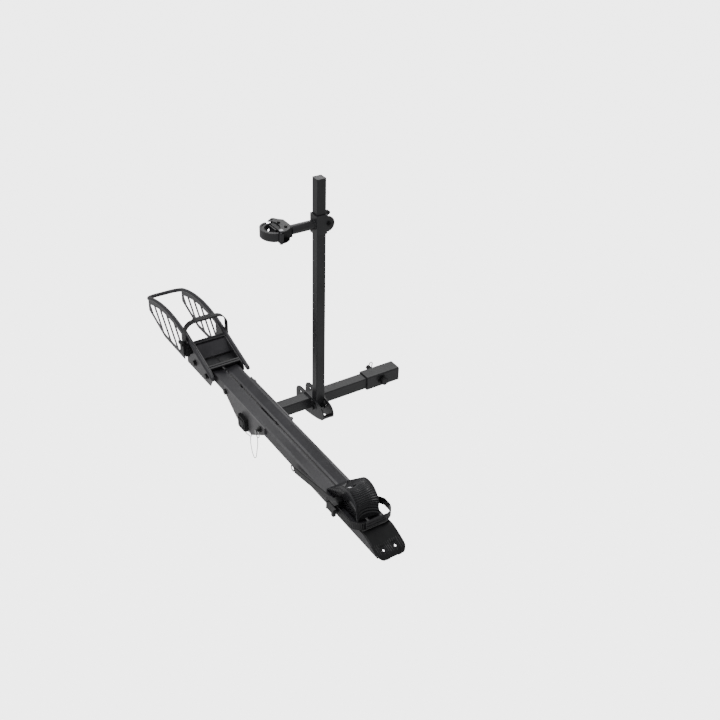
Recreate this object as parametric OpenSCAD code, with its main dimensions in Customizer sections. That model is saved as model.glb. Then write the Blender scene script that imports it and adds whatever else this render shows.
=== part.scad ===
// Hitch mounted bike rack for one bike.
// A square beam plugs into a tow hitch. It carries a folding tray with a hoop for the front
// wheel and a chock for the rear wheel, and a folding mast with a clamp for the bike's frame.
// Frame: +X along the tray towards the rear wheel, +Y along the beam towards the vehicle,
// +Z up. The origin is where the hitch bolt's axis crosses the middle of the beam.

/* [Beam] */
// Side of the square sleeve that enters the hitch
sleeve_w = 50; // [50:0.1:51]
// Length of the sleeve
sleeve_l = 127; // [110:1:150]
// Side of the square beam
beam_w = 40; // [38:0.5:40]
// Wall of the beam
beam_wall = 3; // [2:0.5:4]
// Distance from the hitch bolt to the free end of the beam
beam_reach = 505; // [505:1:520]
// Diameter of the hitch bolt
hitch_bolt_d = 15.8; // [15:0.1:16]

/* [Tray] */
// Width over the tray's flanges
tray_w = 90; // [90:1:92]
// Depth of the tray's flanges
tray_h = 31.6; // [30:0.2:32]
// Sheet thickness of the tray
tray_t = 2.5; // [2:0.1:3]
// Depth of the shallow valley along the tray
valley = 5.5; // [4:0.5:7]
// Width of the slot along the middle of the tray
slot_w = 6.4; // [5:0.1:7]
// Distance from the hitch bolt to the middle of the tray
tray_reach = 452; // [450:1:454]
// Front end of the tray
tray_front = -402; // [-404:1:-396]
// Rear end of the tray
tray_rear = 732; // [728:1:734]

/* [Mast] */
// Side of the square mast
mast_w = 30; // [29:0.5:30]
// Height of the mast above the beam's middle
mast_top = 776; // [740:1:800]
// Height of the clamp arm above the beam's middle
arm_z = 637; // [620:1:650]
// Distance from the hitch bolt to the middle of the mast
mast_reach = 256.5; // [255:0.5:258]

/* [Front wheel hoop] */
// Diameter of the hoop's rod
rod_d = 14; // [12:0.5:14]
// Distance from the tray's middle to each rail of the hoop
rail_y = 64; // [64:0.5:66]
// Slope of the straight part of the rails, in degrees
rail_slope = 18.3; // [16:0.1:20]
// Radius of the arched part of the rails
arch_r = 480; // [440:5:520]

/* [Straps] */
// Width of a wheel strap
strap_w = 25; // [20:1:26]
// Thickness of a wheel strap
strap_t = 3; // [2:0.5:3.5]

/* [Hidden] */

$fn = 48;
sleeve_rear = 68;
sleeve_front = sleeve_rear - sleeve_l;
beam_top = beam_w / 2;
ty = -tray_reach;
tray_half = tray_w / 2;
tray_bottom = beam_top + 1.4;
tray_top = tray_bottom + tray_h;
flat_z = tray_top - valley;
lip_w = 8;
flat_w = 11;
lip_depth = 13;
pivot_x = -129;
lock_x = 104;
cross_z = 38;
cross_r = 5;
saddle_t = 4;
saddle_y = tray_half + 0.6;
my = -mast_reach;
mast_x = beam_top + 1 + mast_w / 2;
mast_pivot_z = -6;
mast_lock_z = 16;
mast_bolt_r = 4;
plate_t = 4;
fold_angle = 66;
collar_h = 60;
collar_t = 3.5;
clamp_bolt_y = my + mast_w / 2 + 7.5;
arm_r = 14;
head_y0 = -398;
head_y1 = -350;
jaw_x = 14;
jaw_y = -396;
jaw_z = 633;
lever_x = -23;
lever_y = -379;
pin_x = 59;
pin_y = -393;
bend_x = -375;
bend_z = 113;
arch_x = bend_x - arch_r * sin(rail_slope);
arch_z = bend_z - arch_r * cos(rail_slope);
rod_r = rod_d / 2;
hoop_front = -739;
hoop_corner = 45;
side_y = rail_y - rod_r - 0.2;
side_t = 3;
strap_x = -370;
strap_half = 76;
strap_top = 172;
strap_bend = 35;
loop_half = 64;
loop_z = 70;
loop_x = 655;
chock_x0 = 468;
chock_x1 = 640;
chock_half = 36.5;
chock_r = 50;
chock_cx = 567;
chock_cz = 84;
chock_bolt_x = 527;
front_pin_y = ty - strap_half - 10.9;
front_pin_z = 66;
rear_pin_x = 529.6;
rear_pin_y = ty - loop_half - 10;

// Height of the hoop's rod at a place along the tray.
function rail_z(x) = x > bend_x ? bend_z - (x - bend_x) * tan(rail_slope)
    : arch_z + sqrt(arch_r * arch_r - (x - arch_x) * (x - arch_x));

// Points along an arc of radius r about c, from angle a0 to a1.
function arc(c, r, a0, a1, n) = [for (i = [0:n]) c + r * [cos(a0 + (a1 - a0) * i / n),
    sin(a0 + (a1 - a0) * i / n)]];

// The same arc without its two end points.
function between(c, r, a0, a1, n) = [for (i = [1:n - 1]) c + r * [cos(a0 + (a1 - a0) * i / n),
    sin(a0 + (a1 - a0) * i / n)]];

function unit(v) = v / norm(v);

// Direction of a path of points at its point i.
function along(path, i) = unit(path[min(i + 1, len(path) - 1)] - path[max(i - 1, 0)]);

// Ring of the section around point i, with its second axis as near to up as it can be.
function ring(path, section, i, up) =
    let(t = along(path, i), s = unit(cross(t, up)), u = cross(s, t))
    [for (p = section) path[i] + p[0] * s + p[1] * u];

// Carries a closed section along a path of points as one solid.
module sweep(path, section, up) {
    n = len(section);
    m = len(path);
    polyhedron(
        points = [for (i = [0:m - 1]) each ring(path, section, i, up)],
        faces = concat(
            [[for (k = [0:n - 1]) k]],
            [for (i = [0:m - 2], k = [0:n - 1]) [i * n + k, (i + 1) * n + k,
                (i + 1) * n + (k + 1) % n, i * n + (k + 1) % n]],
            [[for (k = [n - 1:-1:0]) (m - 1) * n + k]]),
        convexity = 8);
}

// Round section of radius r with n sides, wound so that sweeps face outwards.
function round_section(r, n) = [for (k = [0:n - 1]) r * [cos(-360 * k / n), sin(-360 * k / n)]];

// Flat section, t across and w tall.
function flat_section(t, w) = [[-t / 2, -w / 2], [-t / 2, w / 2], [t / 2, w / 2], [t / 2, -w / 2]];

module rounded_square(w, r) {
    for (a = [[w, w - 2 * r], [w - 2 * r, w]]) square(a, center = true);
    for (x = [-1, 1], y = [-1, 1]) translate([x * (w / 2 - r), y * (w / 2 - r)]) circle(r);
}

// Square tube with rounded corners, along +Y from the origin.
module square_tube(w, wall, l, r) {
    rotate([-90, 0, 0]) linear_extrude(l) difference() {
        rounded_square(w, r);
        rounded_square(w - 2 * wall, max(r - wall, 0.5));
    }
}

module rod_x(x0, x1, y, z, r) {
    translate([x0, y, z]) rotate([0, 90, 0]) cylinder(h = x1 - x0, r = r);
}

module rod_y(y0, y1, x, z, r) {
    translate([x, y0, z]) rotate([-90, 0, 0]) cylinder(h = y1 - y0, r = r);
}

// Hexagon prism along +Y, for heads and nuts.
module hex_y(y0, y1, x, z, r) {
    translate([x, y0, z]) rotate([-90, 0, 0]) cylinder(h = y1 - y0, r = r, $fn = 6);
}

// Extrudes a drawing of x and z between two places along Y.
module plate_y(y0, y1) {
    translate([0, y1, 0]) rotate([90, 0, 0]) linear_extrude(y1 - y0) children();
}

// ---- Beam ----

module hitch_tube() color([0.25, 0.25, 0.26]) difference() {
    translate([0, -beam_reach, 0]) square_tube(beam_w, beam_wall, beam_reach + sleeve_rear - 3, 4);
    rod_x(-beam_w, beam_w, 0, 0, hitch_bolt_d / 2 + 0.3);
}

module receiver_sleeve() color([0.27, 0.27, 0.28]) difference() {
    translate([0, sleeve_front, 0])
        square_tube(sleeve_w, (sleeve_w - beam_w) / 2 - 0.1, sleeve_l, 5);
    rod_x(-sleeve_w, sleeve_w, 0, 0, hitch_bolt_d / 2 + 0.3);
}

// Plastic plug: a stepped cap outside the beam, with a sunk square frame, and a spigot inside.
module tube_end_plug() color([0.07, 0.07, 0.07]) {
    inside = beam_w - 2 * beam_wall - 1;
    translate([0, -beam_reach - 8, 0]) rotate([-90, 0, 0]) linear_extrude(8)
        rounded_square(beam_w + 8, 5);
    translate([0, -beam_reach - 11, 0]) rotate([-90, 0, 0]) linear_extrude(3) {
        difference() {
            rounded_square(beam_w + 3, 5);
            rounded_square(beam_w - 5, 3);
        }
        rounded_square(beam_w - 16, 2);
    }
    translate([0, -beam_reach, 0]) rotate([-90, 0, 0]) linear_extrude(18)
        rounded_square(inside, 1.5);
}

module saddle_outline() {
    polygon([[-142, 54], [-142, 34], [-136, 28], [-58, -23], [-50, -26], [36, -26], [44, -24],
        [122, 26], [127, 33], [127, 54]]);
}

module saddle_plate(y0) difference() {
    plate_y(y0, y0 + saddle_t) difference() {
        saddle_outline();
        rounded_square(beam_w, 4);
    }
    rod_y(y0 - 1, y0 + saddle_t + 1, pivot_x, cross_z, cross_r + 0.05);
    rod_y(y0 - 1, y0 + saddle_t + 1, lock_x, cross_z, cross_r + 0.1);
}

module saddle_plate_near() color([0.48, 0.48, 0.49]) saddle_plate(ty - saddle_y - saddle_t);

module saddle_plate_far() color([0.48, 0.48, 0.49]) saddle_plate(ty + saddle_y);

// Thin rubber pad on the beam that the tray comes down on.
module tray_rest_pad() color([0.06, 0.06, 0.06])
    translate([-14, ty - tray_half, beam_top]) cube([28, tray_w, 1.2]);

module bracket_outline() {
    polygon([[-72, -22], [-72, 6], [-66, 18], [-52, 26], [-26, 28], [22, 27], [60, 24],
        [84, 17], [95, 7], [100, -6], [98, -18], [90, -25], [62, -34], [31, -41], [-14, -48],
        [-44, -40]]);
}

// Curved slot that the mast's lock bolt travels in as the mast folds.
module fold_slot(r) {
    c = [mast_x, mast_pivot_z];
    lever = mast_lock_z - mast_pivot_z;
    low = 90 - fold_angle;
    polygon(concat(arc(c, lever + r, low, 90, 12), between(c + [0, lever], r, 90, 270, 10),
        arc(c, lever - r, 90, low, 8),
        between(c + lever * [cos(low), sin(low)], r, low + 180, low + 360, 10)));
}

module bracket_plate(y0) difference() {
    plate_y(y0, y0 + plate_t) difference() {
        bracket_outline();
        rounded_square(beam_w, 4);
        translate([-44, 8]) circle(5.5);
        fold_slot(mast_bolt_r + 0.5);
    }
    rod_y(y0 - 1, y0 + plate_t + 1, mast_x, mast_pivot_z, mast_bolt_r + 0.1);
}

// Two plates welded across the beam, with a bent web between their lower ends.
module mast_bracket() color([0.34, 0.34, 0.35]) {
    inner = mast_w / 2 + 0.6;
    bracket_plate(my - inner - plate_t);
    bracket_plate(my + inner);
    plate_y(my - inner, my + inner)
        polygon([[98, -12], [94, -12], [92, -18.5], [86.5, -21.5], [66, -28], [67, -31.5],
            [89, -24], [97, -17.5]]);
}

// Bolt along Y with a hexagon head at its near end and a nut at its far end.
module cross_bolt(y0, y1, x, z, r) {
    rod_y(y0, y1, x, z, r);
    hex_y(y0 - 1.3 * r, y0, x, z, 1.9 * r);
    hex_y(y1 - 1.4 * r - 2, y1 - 2, x, z, 1.9 * r);
}

module mast_pivot_bolt() color([0.5, 0.5, 0.52]) {
    inner = mast_w / 2 + 0.6 + plate_t;
    cross_bolt(my - inner - 0.1, my + inner + 7.8, mast_x, mast_pivot_z, mast_bolt_r);
}

module tray_pivot_bolt() color([0.12, 0.12, 0.12]) {
    outer = saddle_y + saddle_t;
    cross_bolt(ty - outer - 0.1, ty + outer + 9.5, pivot_x, cross_z, cross_r);
}

// Wire eye under the near saddle plate that holds the tether.
module tether_clip() color([0.72, 0.72, 0.73]) {
    y = ty - saddle_y - saddle_t - 1.5;
    wire = [[24, y, -22], [8, y, -30], [4, y, -34], [7, y, -38], [14, y, -38], [36, y, -33],
        [43, y, -28], [42, y, -22], [30, y, -18], [24, y, -16]];
    sweep(wire, round_section(1.3, 10), [0, 1, 0]);
}

// Clear tether from the wire eye down and up to the lock pin's ring.
tether_points = [[43, -506, -30], [42, -506, -40], [42, -506, -50], [43, -506, -60],
    [46, -506, -70], [49, -506, -80], [53, -506, -88], [58, -506, -94], [64, -506, -97],
    [70, -506, -94], [75, -506, -88], [78, -506, -80], [81, -506, -68], [84, -506, -54],
    [87, -506, -41], [91, -507, -28], [95.5, -509, -15], [100, -511, -3], [103.6, -513, 9.8]];
tether_d = 2.4;

module lock_pin_tether() color([0.88, 0.9, 0.9, 0.5])
    sweep(tether_points, round_section(tether_d / 2, 8), [0, 1, 0]);

// ---- Hitch bolt ----

module hitch_bolt() color([0.2, 0.2, 0.2]) {
    bolt_end = -64;
    difference() {
        rod_x(bolt_end, 32.6, 0, 0, hitch_bolt_d / 2);
        translate([-54, 0, -20]) cylinder(h = 40, r = 2.1);
    }
    translate([32.6, 0, 0]) rotate([0, 90, 0]) cylinder(h = 11, r = 13, $fn = 6);
}

module hitch_bolt_washers() color([0.4, 0.4, 0.42]) {
    for (w = [[sleeve_w / 2 + 0.1, 3.2, 16], [sleeve_w / 2 + 3.4, 4, 12]]) difference() {
        rod_x(w[0], w[0] + w[1], 0, 0, w[2]);
        rod_x(w[0] - 1, w[0] + w[1] + 1, 0, 0, hitch_bolt_d / 2 + 0.1);
    }
}

// Spring wire clip through the bolt's end, round one side of it.
module hitch_r_clip() color([0.78, 0.78, 0.8]) {
    x = -54;
    side = hitch_bolt_d / 2 + 2.1;
    path = concat([[x, 0, -17], [x, 0, -8], [x, 0, 4], [x, 0, 15]],
        [for (p = arc([6, 16], 6, 180, 0, 8)) [x, p[0], p[1]]],
        [[x, side + 1.2, 11], [x, side + 0.2, 6], [x, side, 1], [x, side, -4], [x, side + 0.4, -8],
        [x, side + 1.6, -12], [x, side + 3.6, -16]]);
    sweep(path, round_section(1.6, 10), [1, 0, 0]);
}

// ---- Tray lock pin ----

module tray_lock_pin() color([0.55, 0.55, 0.57]) {
    outer = saddle_y + saddle_t;
    difference() {
        union() {
            rod_y(ty - outer - 16, ty + outer + 12, lock_x, cross_z, cross_r);
            rod_y(ty - outer - 8, ty - outer - 0.2, lock_x, cross_z, 9);
        }
        rod_x(lock_x - 10, lock_x + 10, ty - outer - 12, cross_z - 0.5, 2.2);
    }
}

// Split ring through the pin's head.
module lock_pin_ring() color([0.8, 0.8, 0.82])
    translate([lock_x, ty - saddle_y - saddle_t - 12, cross_z - 12.5]) rotate([90, 0, 0])
        rotate_extrude() translate([12.5, 0]) circle(1.3, $fn = 16);

// ---- Mast ----

module mast_tube() color([0.24, 0.24, 0.25]) difference() {
    union() {
        translate([mast_x, my, mast_pivot_z]) linear_extrude(mast_top - 3 - mast_pivot_z)
            difference() {
                rounded_square(mast_w, 3);
                rounded_square(mast_w - 5, 1);
            }
        rod_y(my - mast_w / 2, my - mast_w / 2 + 2.5, mast_x, mast_pivot_z, mast_w / 2);
        rod_y(my + mast_w / 2 - 2.5, my + mast_w / 2, mast_x, mast_pivot_z, mast_w / 2);
    }
    rod_y(my - mast_w, my + mast_w, mast_x, mast_pivot_z, mast_bolt_r + 0.06);
    rod_y(my - mast_w, my + mast_w, mast_x, mast_lock_z, mast_bolt_r + 0.1);
}

module mast_cap() color([0.3, 0.3, 0.31]) {
    translate([mast_x, my, mast_top - 3]) linear_extrude(3) rounded_square(mast_w, 3);
    translate([mast_x, my, mast_top - 18]) linear_extrude(15) rounded_square(mast_w - 6, 1);
}

module mast_lock_bolt() color([0.62, 0.62, 0.64]) {
    inner = mast_w / 2 + 0.6 + plate_t;
    cross_bolt(my - inner - 0.4, my + inner + 8, mast_x, mast_lock_z, mast_bolt_r);
}

// ---- Collar and arm ----

// Side cheek of the collar, drawn with y as the first axis and z as the second.
module collar_cheek() {
    polygon([[my - mast_w / 2 - 4, arm_z - collar_h / 2], [clamp_bolt_y - 6, arm_z - collar_h / 2],
        [clamp_bolt_y - 6, arm_z + collar_h / 2], [my - mast_w / 2 - 4, arm_z + collar_h / 2]]);
    translate([clamp_bolt_y - 6, arm_z]) circle(24);
}

module cheek_at(x0) difference() {
    translate([x0, 0, 0]) rotate([90, 0, 90]) linear_extrude(collar_t) collar_cheek();
    rod_x(x0 - 1, x0 + collar_t + 1, clamp_bolt_y, arm_z, mast_bolt_r + 0.1);
}

module collar_bracket() color([0.26, 0.26, 0.27]) difference() {
    union() {
        cheek_at(mast_x - mast_w / 2 - 0.4 - collar_t);
        cheek_at(mast_x + mast_w / 2 + 0.4);
        translate([mast_x - mast_w / 2 - 0.4, my - mast_w / 2 - 4, arm_z - collar_h / 2])
            cube([mast_w + 0.8, collar_t, collar_h]);
    }
    rod_x(mast_x - 40, mast_x, my - 6, arm_z + 14, 3.2);
}

// Two nylon liners inside the collar's cheeks, past the mast.
module collar_liners() color([0.08, 0.08, 0.08]) {
    for (x = [mast_x - mast_w / 2 - 0.3, mast_x + mast_w / 2 - 2.7]) difference() {
        translate([x, my + mast_w / 2 + 0.4, arm_z - 18]) cube([3, 16, 36]);
        rod_x(x - 1, x + 4, clamp_bolt_y, arm_z, mast_bolt_r + 0.1);
    }
}

module arm_tube() color([0.2, 0.2, 0.21]) difference() {
    rod_y(head_y1 + 0.2, my - mast_w / 2 - 4, mast_x, arm_z, arm_r);
    rod_y(head_y1 - 1, my - mast_w / 2 - 3, mast_x, arm_z, arm_r - 2.5);
}

module collar_clamp_bolt() color([0.45, 0.45, 0.47]) {
    side = mast_w / 2 + 0.4 + collar_t;
    rod_x(mast_x - side - 12, mast_x + side + 9, clamp_bolt_y, arm_z, mast_bolt_r);
    translate([mast_x + side + 0.1, clamp_bolt_y, arm_z]) rotate([0, 90, 0])
        cylinder(h = 6, r = 7.5, $fn = 6);
}

module collar_stop_bolt() color([0.4, 0.4, 0.42]) {
    side = mast_w / 2 + 0.4 + collar_t;
    rod_x(mast_x - side - 6, mast_x - side + collar_t, my - 6, arm_z + 14, 3);
    translate([mast_x - side - 6, my - 6, arm_z + 14]) rotate([0, 90, 0])
        cylinder(h = 5.8, r = 7, $fn = 6);
}

// Cam lever on the far end of the clamp bolt.
module collar_lever() color([0.3, 0.3, 0.31]) {
    x0 = mast_x - mast_w / 2 - 0.4 - collar_t - 11.5;
    translate([x0, clamp_bolt_y, arm_z]) rotate([90, 0, 90]) difference() {
        linear_extrude(11) {
            circle(9);
            rotate([0, 0, 34]) translate([0, -5.5]) square([26, 11]);
            rotate([0, 0, 34]) translate([26, 0]) circle(5.5);
        }
        translate([0, 0, -1]) cylinder(h = 13, r = mast_bolt_r + 0.06);
    }
}

// ---- Clamp head ----

module head_outline() {
    polygon([[-19, -394], [-31, -376], [-28, -369], [-17, -362], [-6, -350.3], [34, -350.3],
        [56, -364], [64, -380], [66, -396], [52, -399], [40, -384], [20, -378], [0, -379],
        [-12, -385]]);
}

module head_plate(z0) difference() {
    translate([0, 0, z0]) linear_extrude(3) head_outline();
    translate([pin_x, pin_y, z0 - 1]) cylinder(h = 5, r = 3.1);
    for (p = [[6, -372], [40, -368]]) translate([p[0], p[1], z0 - 1]) cylinder(h = 5, r = 2.7);
    translate([lever_x, lever_y, z0 - 1]) cylinder(h = 5, r = 2.1);
}

module head_top_plate() color([0.6, 0.6, 0.62]) head_plate(arm_z + 13);

module head_bottom_plate() color([0.2, 0.2, 0.2]) head_plate(arm_z - 21);

module head_block() color([0.13, 0.13, 0.13]) difference() {
    union() {
        translate([-4, head_y0 + 4, arm_z - 17.9]) cube([50, 44, 30.8]);
        rod_y(head_y1 - 1, head_y1 + 12, mast_x, arm_z, arm_r - 2.6);
    }
    for (p = [[6, -372], [40, -368]]) translate([p[0], p[1], arm_z - 30])
        cylinder(h = 60, r = 2.7);
}

module head_bolts() color([0.6, 0.6, 0.62]) {
    for (p = [[6, -372], [40, -368]]) translate([p[0], p[1], arm_z - 25]) {
        cylinder(h = 45, r = 2.5);
        cylinder(h = 3.9, r = 5);
        translate([0, 0, 41.1]) cylinder(h = 3.4, r = 4.6);
    }
    translate([lever_x, lever_y, arm_z - 22]) {
        cylinder(h = 39, r = 2);
        translate([0, 0, 38.1]) cylinder(h = 1.6, r = 3.4);
    }
}

module jaw_hinge_pin() color([0.7, 0.7, 0.72]) translate([pin_x, pin_y, arm_z - 24]) {
    cylinder(h = 43, r = 3);
    translate([0, 0, 40.2]) cylinder(h = 2.8, r = 5);
    cylinder(h = 2.8, r = 5);
}

// Rubber pad on the block that faces the bike's tube.
module fixed_jaw_pad() color([0.06, 0.06, 0.06])
    translate([0, head_y0 - 1.2, arm_z - 16]) cube([36, 5, 27]);

// Half an oval ring, 6 longer along X than its two radii say.
module half_ring(r0, r1, z0, z1) translate([jaw_x, jaw_y, z0]) linear_extrude(z1 - z0)
    polygon(concat([for (a = [180:7.5:360]) [(r1 + 6) * cos(a), r1 * sin(a)]],
        [for (a = [360:-7.5:180]) [(r0 + 6) * cos(a), r0 * sin(a)]]));

module jaw_band() color([0.3, 0.3, 0.31]) difference() {
    union() {
        half_ring(30, 36, jaw_z - 13, jaw_z + 13);
        translate([50.5, pin_y - 5, jaw_z - 13]) cube([8, 9.5, 26]);
        translate([pin_x, pin_y, jaw_z - 13]) cylinder(h = 26, r = 6.5);
        translate([-28, jaw_y - 0.5, jaw_z - 8]) cube([6, 9, 15]);
    }
    translate([pin_x, pin_y, jaw_z - 20]) cylinder(h = 40, r = 3.06);
}

module jaw_pad() color([0.07, 0.07, 0.07]) difference() {
    half_ring(22, 29.9, jaw_z - 12, jaw_z + 11);
    for (a = [200:20:340]) translate([jaw_x, jaw_y, jaw_z - 20]) rotate([0, 0, a])
        translate([21, -1.5, 0]) cube([3.5, 3, 40]);
}

// Thumb lever that lets the jaw's free end go.
module jaw_release_lever() color([0.12, 0.12, 0.12])
    translate([0, 0, arm_z - 12]) linear_extrude(16) difference() {
        polygon([[-27, -386], [-19, -385], [-19, -374], [-24, -370], [-33, -357], [-38, -356],
            [-40, -361], [-36, -370], [-29, -379]]);
        translate([lever_x, lever_y]) circle(2.06);
    }

// ---- Tray ----

// Half of the tray's section: y from the middle, then z.
module tray_half_section() {
    s = slot_w / 2;
    t = tray_t;
    polygon([[tray_half, tray_bottom], [tray_half, tray_top], [tray_half - lip_w, tray_top],
        [flat_w, flat_z], [s, flat_z], [s, flat_z - lip_depth], [s + t, flat_z - lip_depth],
        [s + t, flat_z - t], [flat_w, flat_z - t], [tray_half - lip_w, tray_top - t],
        [tray_half - t, tray_top - t], [tray_half - t, tray_bottom]]);
}

// Everything past the sloping cut at the tray's rear end.
module tray_nose_cut() {
    plate_y(ty - tray_w, ty + tray_w)
        polygon([[662, tray_top + 1], [tray_rear, tray_bottom + 1], [tray_rear + 20, tray_bottom],
            [tray_rear + 20, tray_top + 20], [662, tray_top + 20]]);
}

module tray_rail(side) difference() {
    translate([tray_front, ty, 0]) rotate([90, 0, 90]) linear_extrude(tray_rear - tray_front)
        mirror([side < 0 ? 1 : 0, 0]) tray_half_section();
    tray_nose_cut();
    for (x = [pivot_x, lock_x]) {
        rod_y(ty - 20, ty + 20, x, cross_z, 7.3);
        translate([x + 4, ty, flat_z - 6]) cylinder(h = 12, r = 5);
    }
    rod_y(ty - tray_w, ty + tray_w, pivot_x, cross_z, cross_r + 0.05);
    rod_y(ty - tray_w, ty + tray_w, lock_x, cross_z, cross_r + 0.1);
    translate([-217, ty, flat_z - 20]) cylinder(h = 30, r = 5);
    for (x = holder_bolt_x) rod_y(ty - tray_w, ty + tray_w, x, holder_bolt_z, 3.1);
}

module tray_rail_near() color([0.4, 0.4, 0.41]) tray_rail(-1);

module tray_rail_far() color([0.4, 0.4, 0.41]) tray_rail(1);

// Tubes inside the tray round the pivot bolt and the lock pin.
module tray_spacers() color([0.3, 0.3, 0.3]) {
    half = tray_half - tray_t - 0.1;
    for (x = [pivot_x, lock_x]) difference() {
        rod_y(ty - half, ty + half, x, cross_z, 6.8);
        rod_y(ty - half - 1, ty + half + 1, x, cross_z, cross_r + 0.1);
    }
}

// Moulded nose over the tray's rear end, with two drain pockets.
module tray_end_cap() color([0.1, 0.1, 0.1]) difference() {
    plate_y(ty - tray_half - 1, ty + tray_half + 1) polygon([[640, tray_top + 0.2],
        [640, tray_top + 1.2], [664, tray_top + 3], [676, tray_top + 1], [704, tray_top - 10],
        [730, tray_bottom + 9], [742, tray_bottom + 2], [745, tray_bottom - 2],
        [745, tray_bottom - 5], [735, tray_bottom - 5], [tray_rear + 0.6, tray_bottom + 1.6],
        [662.4, tray_top + 1.4], [656, tray_top + 0.2]]);
    for (side = [-1, 1]) translate([722, ty + side * 18.5, tray_bottom - 20])
        cylinder(h = 80, r = 5);
    for (side = [-1, 1]) translate([645, ty + side * 42.2, tray_bottom]) cylinder(h = 80, r = 2.2);
    translate([630, ty - 38.2, tray_top]) cube([27.6, 76.4, 20]);
}

module end_cap_screws() color([0.15, 0.15, 0.15]) {
    for (side = [-1, 1]) translate([645, ty + side * 42.2, tray_top + 0.05]) {
        cylinder(h = 3, r = 2);
        translate([0, 0, 2.2]) cylinder(h = 2, r = 3.6);
    }
}

// ---- Front wheel holder ----

holder_bolt_x = [-341, -250];
holder_bolt_z = 31;

module hoop_rod() color([0.3, 0.3, 0.31]) {
    straight = [for (x = [-190:-46:-374]) x];
    arched = [for (x = [-400:-28:-680]) x];
    leg = concat(straight, arched);
    corner_x = hoop_front + hoop_corner;
    near = [for (x = leg) [x, -rail_y]];
    far = [for (i = [len(leg) - 1:-1:0]) [leg[i], rail_y]];
    c = rail_y - hoop_corner;
    plan = concat(near, arc([corner_x, -c], hoop_corner, 270, 180, 6),
        arc([corner_x, c], hoop_corner, 180, 90, 6), far);
    path = [for (p = plan) [p[0], ty + p[1], rail_z(p[0])]];
    sweep(path, round_section(rod_r, 16), [0, 0, 1]);
}

// Grooved bars welded between the rails.
module hoop_cross_bars() color([0.3, 0.3, 0.31]) {
    half = side_y - side_t - 0.1;
    for (x = [-346, -236]) translate([x, ty - half, rail_z(x)]) rotate([0, rail_slope, 0])
        difference() {
            translate([-7, 0, -4]) cube([14, 2 * half, 8]);
            translate([-1.5, -1, 2]) cube([3, 2 * half + 2, 4]);
        }
}

// Sheet that leads the tyre down from the upper bar.
module cradle_ramp() color([0.42, 0.42, 0.43]) {
    half = side_y - side_t - 0.3;
    plate_y(ty - half, ty + half)
        polygon([[-340, 98], [-337, 97], [-306, 66], [-300, 66], [-300, 63], [-308, 63],
            [-340, 94]]);
}

// Slotted sheet under the tyre, joined to the lower bar.
module cradle_floor() color([0.3, 0.3, 0.31]) {
    half = side_y - side_t - 0.3;
    difference() {
        plate_y(ty - half, ty + half)
            polygon([[-318, 57], [-300, 54.5], [-262, 54.5], [-246, 62], [-244, 66], [-247, 66],
                [-249, 64], [-263, 57.5], [-300, 57.5], [-318, 60]]);
        for (x = [-296, -280]) translate([x, ty - 1.5, 40]) cube([12, 3, 40]);
    }
}

module side_outline() {
    top = [for (x = [-222:-22:-400]) [x, rail_z(x) + 2]];
    polygon(concat([[-232, 0], [-206, 44], [-206, rail_z(-206) - 4]], top,
        [[-408, rail_z(-408)], [-408, -2]]));
}

module holder_side(side) {
    y0 = side < 0 ? ty - side_y : ty + side_y - side_t;
    difference() {
        plate_y(y0, y0 + side_t) side_outline();
        for (x = holder_bolt_x) rod_y(y0 - 1, y0 + side_t + 1, x, holder_bolt_z, 3.1);
    }
}

module holder_side_near() color([0.44, 0.44, 0.44]) holder_side(-1);

module holder_side_far() color([0.3, 0.3, 0.31]) holder_side(1);

// Leaf-shaped guard, shrunk by d on every side: the rod above it, a straight belly below it.
function belly(x) = x > -580 ? 9 : 9 + 0.36 * (-580 - x);

module guard_leaf(d) {
    xs = [for (i = [0:24]) -708 + d + (296 - 2 * d) * i / 24];
    polygon(concat([for (x = xs) [x, rail_z(x) - rod_r - 0.7 - 1.2 * d]],
        [for (i = [24:-1:0])
            [xs[i], min(belly(xs[i]) + d, rail_z(xs[i]) - rod_r - 1.5 - 1.2 * d)]]));
}

module guard(y) {
    plate_y(y - 1.5, y + 1.5) difference() {
        guard_leaf(0);
        intersection() {
            guard_leaf(13);
            for (i = [-2:2]) translate([-532 + 61 * i, 62]) rotate([0, 0, -51])
                translate([-90, -18.5]) square([180, 37]);
        }
    }
}

module guard_near() color([0.42, 0.42, 0.43]) guard(ty - rail_y);

module guard_far() color([0.42, 0.42, 0.43]) guard(ty + rail_y);

// Plastic blocks between the side plates and the tray's flanges.
module holder_blocks() color([0.08, 0.08, 0.08]) {
    outer = side_y - side_t;
    inner = tray_half + 0.1;
    for (y = [ty - outer, ty + inner]) difference() {
        translate([-398, y, 23]) cube([178, outer - inner, 27]);
        for (x = holder_bolt_x) rod_y(y - 1, y + outer, x, holder_bolt_z, 3.1);
    }
}

module holder_bolts() color([0.1, 0.1, 0.1]) {
    for (x = holder_bolt_x)
        cross_bolt(ty - side_y - 0.1, ty + side_y + 6.4, x, holder_bolt_z, 3);
    for (x = holder_bolt_x) {
        rod_y(ty - side_y - 3.1, ty - side_y - 0.1, x, holder_bolt_z, 11);
        hex_y(ty - side_y - 9, ty - side_y - 3.1, x, holder_bolt_z, 8.5);
        rod_y(ty + side_y + 0.1, ty + side_y + 2.1, x, holder_bolt_z, 9);
    }
}

// Strap over the front tyre, from the ratchet to the anchor.
module front_strap() color([0.1, 0.1, 0.1]) {
    c = strap_half - strap_bend;
    low = strap_top - strap_bend;
    path = concat([[-strap_half, 98.5], [-strap_half, 118]],
        arc([-c, low], strap_bend, 180, 90, 8), arc([c, low], strap_bend, 90, 0, 8),
        [[strap_half, 110], [strap_half, 75.5]]);
    sweep([for (p = path) [strap_x, ty + p[0], p[1]]], flat_section(strap_t, strap_w), [1, 0, 0]);
}

module front_strap_pad() color([0.2, 0.2, 0.21]) {
    half = strap_half - strap_bend;
    translate([strap_x - 15, ty - half, strap_top + strap_t / 2 + 0.1]) cube([30, 2 * half, 5]);
}

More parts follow.
